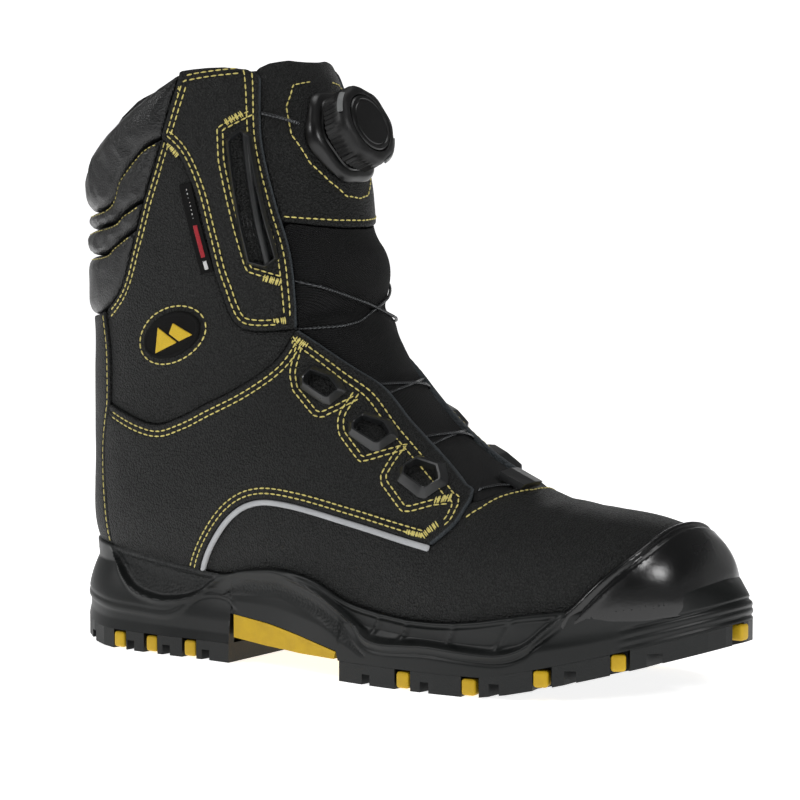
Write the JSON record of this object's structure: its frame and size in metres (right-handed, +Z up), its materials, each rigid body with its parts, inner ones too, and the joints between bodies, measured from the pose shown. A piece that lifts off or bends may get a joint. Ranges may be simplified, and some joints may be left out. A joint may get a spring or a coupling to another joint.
{
  "type": "safety boot",
  "caption": "High leather work boot with a padded collar, toe cap, lugged sole with an arch insert, and cable lacing wound by a dial on the tongue.",
  "frame": {"origin": "on the ground under the middle of the sole", "axes": "+X from heel to toe, +Y towards the inner (medial) side of this right boot, +Z up"},
  "size_m": [0.3058, 0.1078, 0.2465],
  "materials": {
    "tread_rubber": "matte black rubber",
    "core_yellow": "matte mustard yellow polyurethane",
    "midsole_rubber": "semi-matte black polyurethane with textured bands",
    "leather_pebble": "matte black pebbled leather",
    "leather_smooth": "semi-gloss smooth black leather",
    "twill_textile": "black twill textile",
    "lining_textile": "dark knitted lining",
    "foam_dark": "dark grey foam",
    "board": "woven anti-puncture board",
    "composite": "moulded composite",
    "shank_steel": "spring steel strip",
    "toe_rubber": "smooth semi-gloss black polyurethane",
    "reflective": "grey reflective strip",
    "guide_plastic": "satin black nylon",
    "dial_plastic": "glossy black nylon",
    "dial_grip": "soft black grip",
    "cable": "coated steel cable",
    "badge_woven": "black badge with a plain yellow mark",
    "label_woven": "woven label with plain bands"
  },
  "bodies": {
    "boot": {"heel_tread": "tread_rubber", "forefoot_tread": "tread_rubber", "heel_core": "core_yellow", "forefoot_core": "core_yellow", "shank": "shank_steel", "arch_insert": "core_yellow", "midsole": "midsole_rubber", "composite_toe_cap": "composite", "heel_stiffener": "composite", "puncture_plate": "board", "lining": "lining_textile", "footbed": "foam_dark", "vamp": "leather_pebble", "quarter_lateral": "leather_pebble", "shaft_lateral": "leather_pebble", "guide_panel_lateral": "leather_pebble", "quarter_medial": "leather_pebble", "shaft_medial": "leather_pebble", "guide_panel_medial": "leather_pebble", "backstay": "leather_pebble", "collar_roll_1": "leather_smooth", "collar_roll_2": "leather_smooth", "collar_roll_3": "leather_smooth", "collar_roll_4": "leather_smooth", "tongue_lower": "twill_textile", "toe_bumper": "toe_rubber", "piping_lateral": "reflective", "piping_medial": "reflective", "badge": "badge_woven", "side_label": "label_woven", "long_guide_lateral": "guide_plastic", "guide_lateral_1": "guide_plastic", "guide_lateral_2": "guide_plastic", "guide_lateral_3": "guide_plastic", "long_guide_medial": "guide_plastic", "guide_medial_1": "guide_plastic", "guide_medial_2": "guide_plastic", "guide_medial_3": "guide_plastic", "toe_guide": "guide_plastic", "cable_upper_outward": "cable", "cable_upper_inward": "cable", "cable_middle_outward": "cable", "cable_middle_inward": "cable", "cable_lower_outward": "cable", "cable_lower_inward": "cable", "cable_toe_lateral": "cable", "cable_toe_medial": "cable", "cable_dial_lateral": "cable", "cable_dial_medial": "cable"},
    "tongue_top": {"tongue_panel": "leather_pebble", "tongue_pad": "foam_dark", "dial_base": "dial_plastic", "dial_screw": "shank_steel"},
    "dial_drive_body": {"dial_drive": "guide_plastic", "dial_spool": "guide_plastic"},
    "dial_knob_body": {"dial_knob": "dial_grip", "dial_cap": "dial_plastic"}
  },
  "joints": [
    {"name": "tongue_fold", "type": "hinge", "parent": "boot", "child": "tongue_top", "pos_m": [-0.0185, 0, 0.1786], "axis": [0, 1, 0], "range_deg": [0, 20], "deforming": ["cable_dial_lateral", "cable_dial_medial"]},
    {"name": "dial_turn", "type": "hinge", "parent": "tongue_top", "child": "dial_drive_body", "pos_m": [-0.02808, 0, 0.21586], "axis": [0.9214, 0, 0.3886], "continuous": true},
    {"name": "dial_pull", "type": "slide", "parent": "dial_drive_body", "child": "dial_knob_body", "axis": [0.9214, 0, 0.3886], "range_m": [0, 0.003]}
  ]
}
